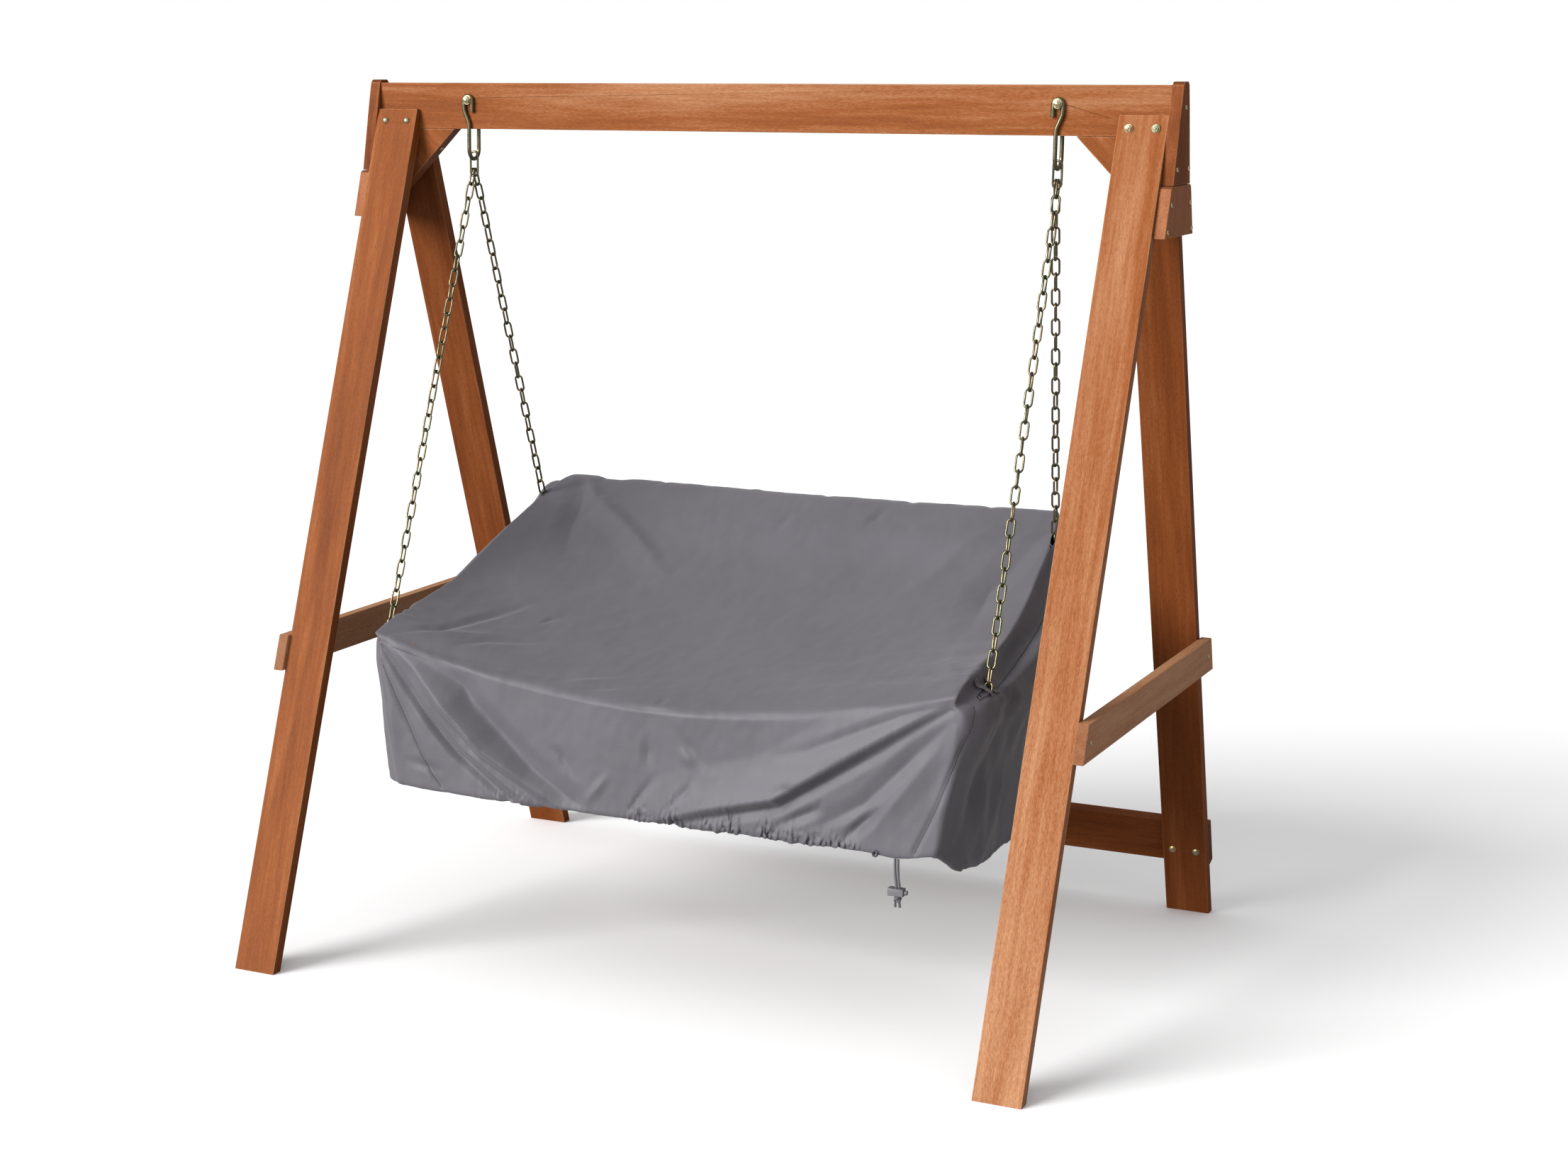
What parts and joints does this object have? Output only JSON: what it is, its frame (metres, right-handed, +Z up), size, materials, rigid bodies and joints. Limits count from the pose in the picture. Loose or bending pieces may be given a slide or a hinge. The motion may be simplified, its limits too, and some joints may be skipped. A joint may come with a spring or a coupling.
{
  "type": "porch swing",
  "caption": "Timber A-frame porch swing: a bench hung on chains from a top beam, under a fitted fabric weather cover.",
  "frame": {"origin": "on the ground under the middle of the frame", "axes": "+X to the right, +Y to the rear, +Z up"},
  "size_m": [1.664, 1.26, 1.703],
  "materials": {
    "stained_wood": "satin oil-stained softwood, orange brown",
    "dark_wood": "satin oil-stained softwood, dark red brown",
    "bench_wood": "satin oil-stained softwood",
    "chain_zinc": "yellow-zinc plated steel, slightly iridescent",
    "bolt_zinc": "yellow-zinc plated steel",
    "cover_fabric": "matte coated polyester, grey",
    "drawcord_braid": "braided elastic cord, dark grey",
    "lock_plastic": "moulded plastic, dark grey"
  },
  "bodies": {
    "stand": {"corner_brace_left": "stained_wood", "corner_brace_right": "stained_wood", "front_leg_left": "stained_wood", "front_leg_right": "stained_wood", "hanger_bail_left": "chain_zinc", "hanger_bail_right": "chain_zinc", "hanger_bolt_left": "bolt_zinc", "hanger_bolt_right": "bolt_zinc", "leg_bolt_inner_left": "bolt_zinc", "leg_bolt_inner_right": "bolt_zinc", "leg_bolt_outer_left": "bolt_zinc", "leg_bolt_outer_right": "bolt_zinc", "lower_gusset_left": "dark_wood", "lower_gusset_right": "dark_wood", "rear_leg_left": "dark_wood", "rear_leg_right": "dark_wood", "rear_stretcher": "dark_wood", "side_rail_left": "stained_wood", "side_rail_right": "stained_wood", "top_beam": "stained_wood", "upper_end_plate_left": "dark_wood", "upper_end_plate_right": "dark_wood"},
    "swing": {"arm_post_left": "bench_wood", "arm_post_right": "bench_wood", "armrest_left": "bench_wood", "armrest_right": "bench_wood", "back_slat_1": "bench_wood", "back_slat_2": "bench_wood", "back_slat_3": "bench_wood", "back_slat_4": "bench_wood", "back_stile_left": "bench_wood", "back_stile_middle": "bench_wood", "back_stile_right": "bench_wood", "back_top_rail": "bench_wood", "bench_cover": "cover_fabric", "cord_end_knot": "drawcord_braid", "drawcord_left": "drawcord_braid", "drawcord_right": "drawcord_braid", "front_chain_left": "chain_zinc", "front_chain_right": "chain_zinc", "front_eye_bolt_left": "bolt_zinc", "front_eye_bolt_right": "bolt_zinc", "rear_chain_left": "chain_zinc", "rear_chain_right": "chain_zinc", "rear_eye_bolt_left": "bolt_zinc", "rear_eye_bolt_right": "bolt_zinc", "seat_front_rail": "bench_wood", "seat_rear_rail": "bench_wood", "seat_slat_1": "bench_wood", "seat_slat_2": "bench_wood", "seat_slat_3": "bench_wood", "seat_slat_4": "bench_wood", "seat_slat_5": "bench_wood", "seat_support_left": "bench_wood", "seat_support_middle": "bench_wood", "seat_support_right": "bench_wood", "top_link_left": "chain_zinc", "top_link_right": "chain_zinc"},
    "cord_lock": {"cord_lock": "lock_plastic"},
    "cord_lock_button": {"cord_lock_button": "lock_plastic"}
  },
  "joints": [
    {"name": "swing_hinge", "type": "hinge", "parent": "stand", "child": "swing", "pos_m": [0, 0, 1.556], "axis": [1, 0, 0], "range_deg": [-25, 25]},
    {"name": "cord_lock_slide", "type": "slide", "parent": "swing", "child": "cord_lock", "axis": [-0.08, 0, 0.9968], "range_m": [0, 0.014]},
    {"name": "lock_button_press", "type": "slide", "parent": "cord_lock", "child": "cord_lock_button", "axis": [-1, 0, 0], "range_m": [0, 0.0025], "stiffness_N_per_m": 200}
  ]
}
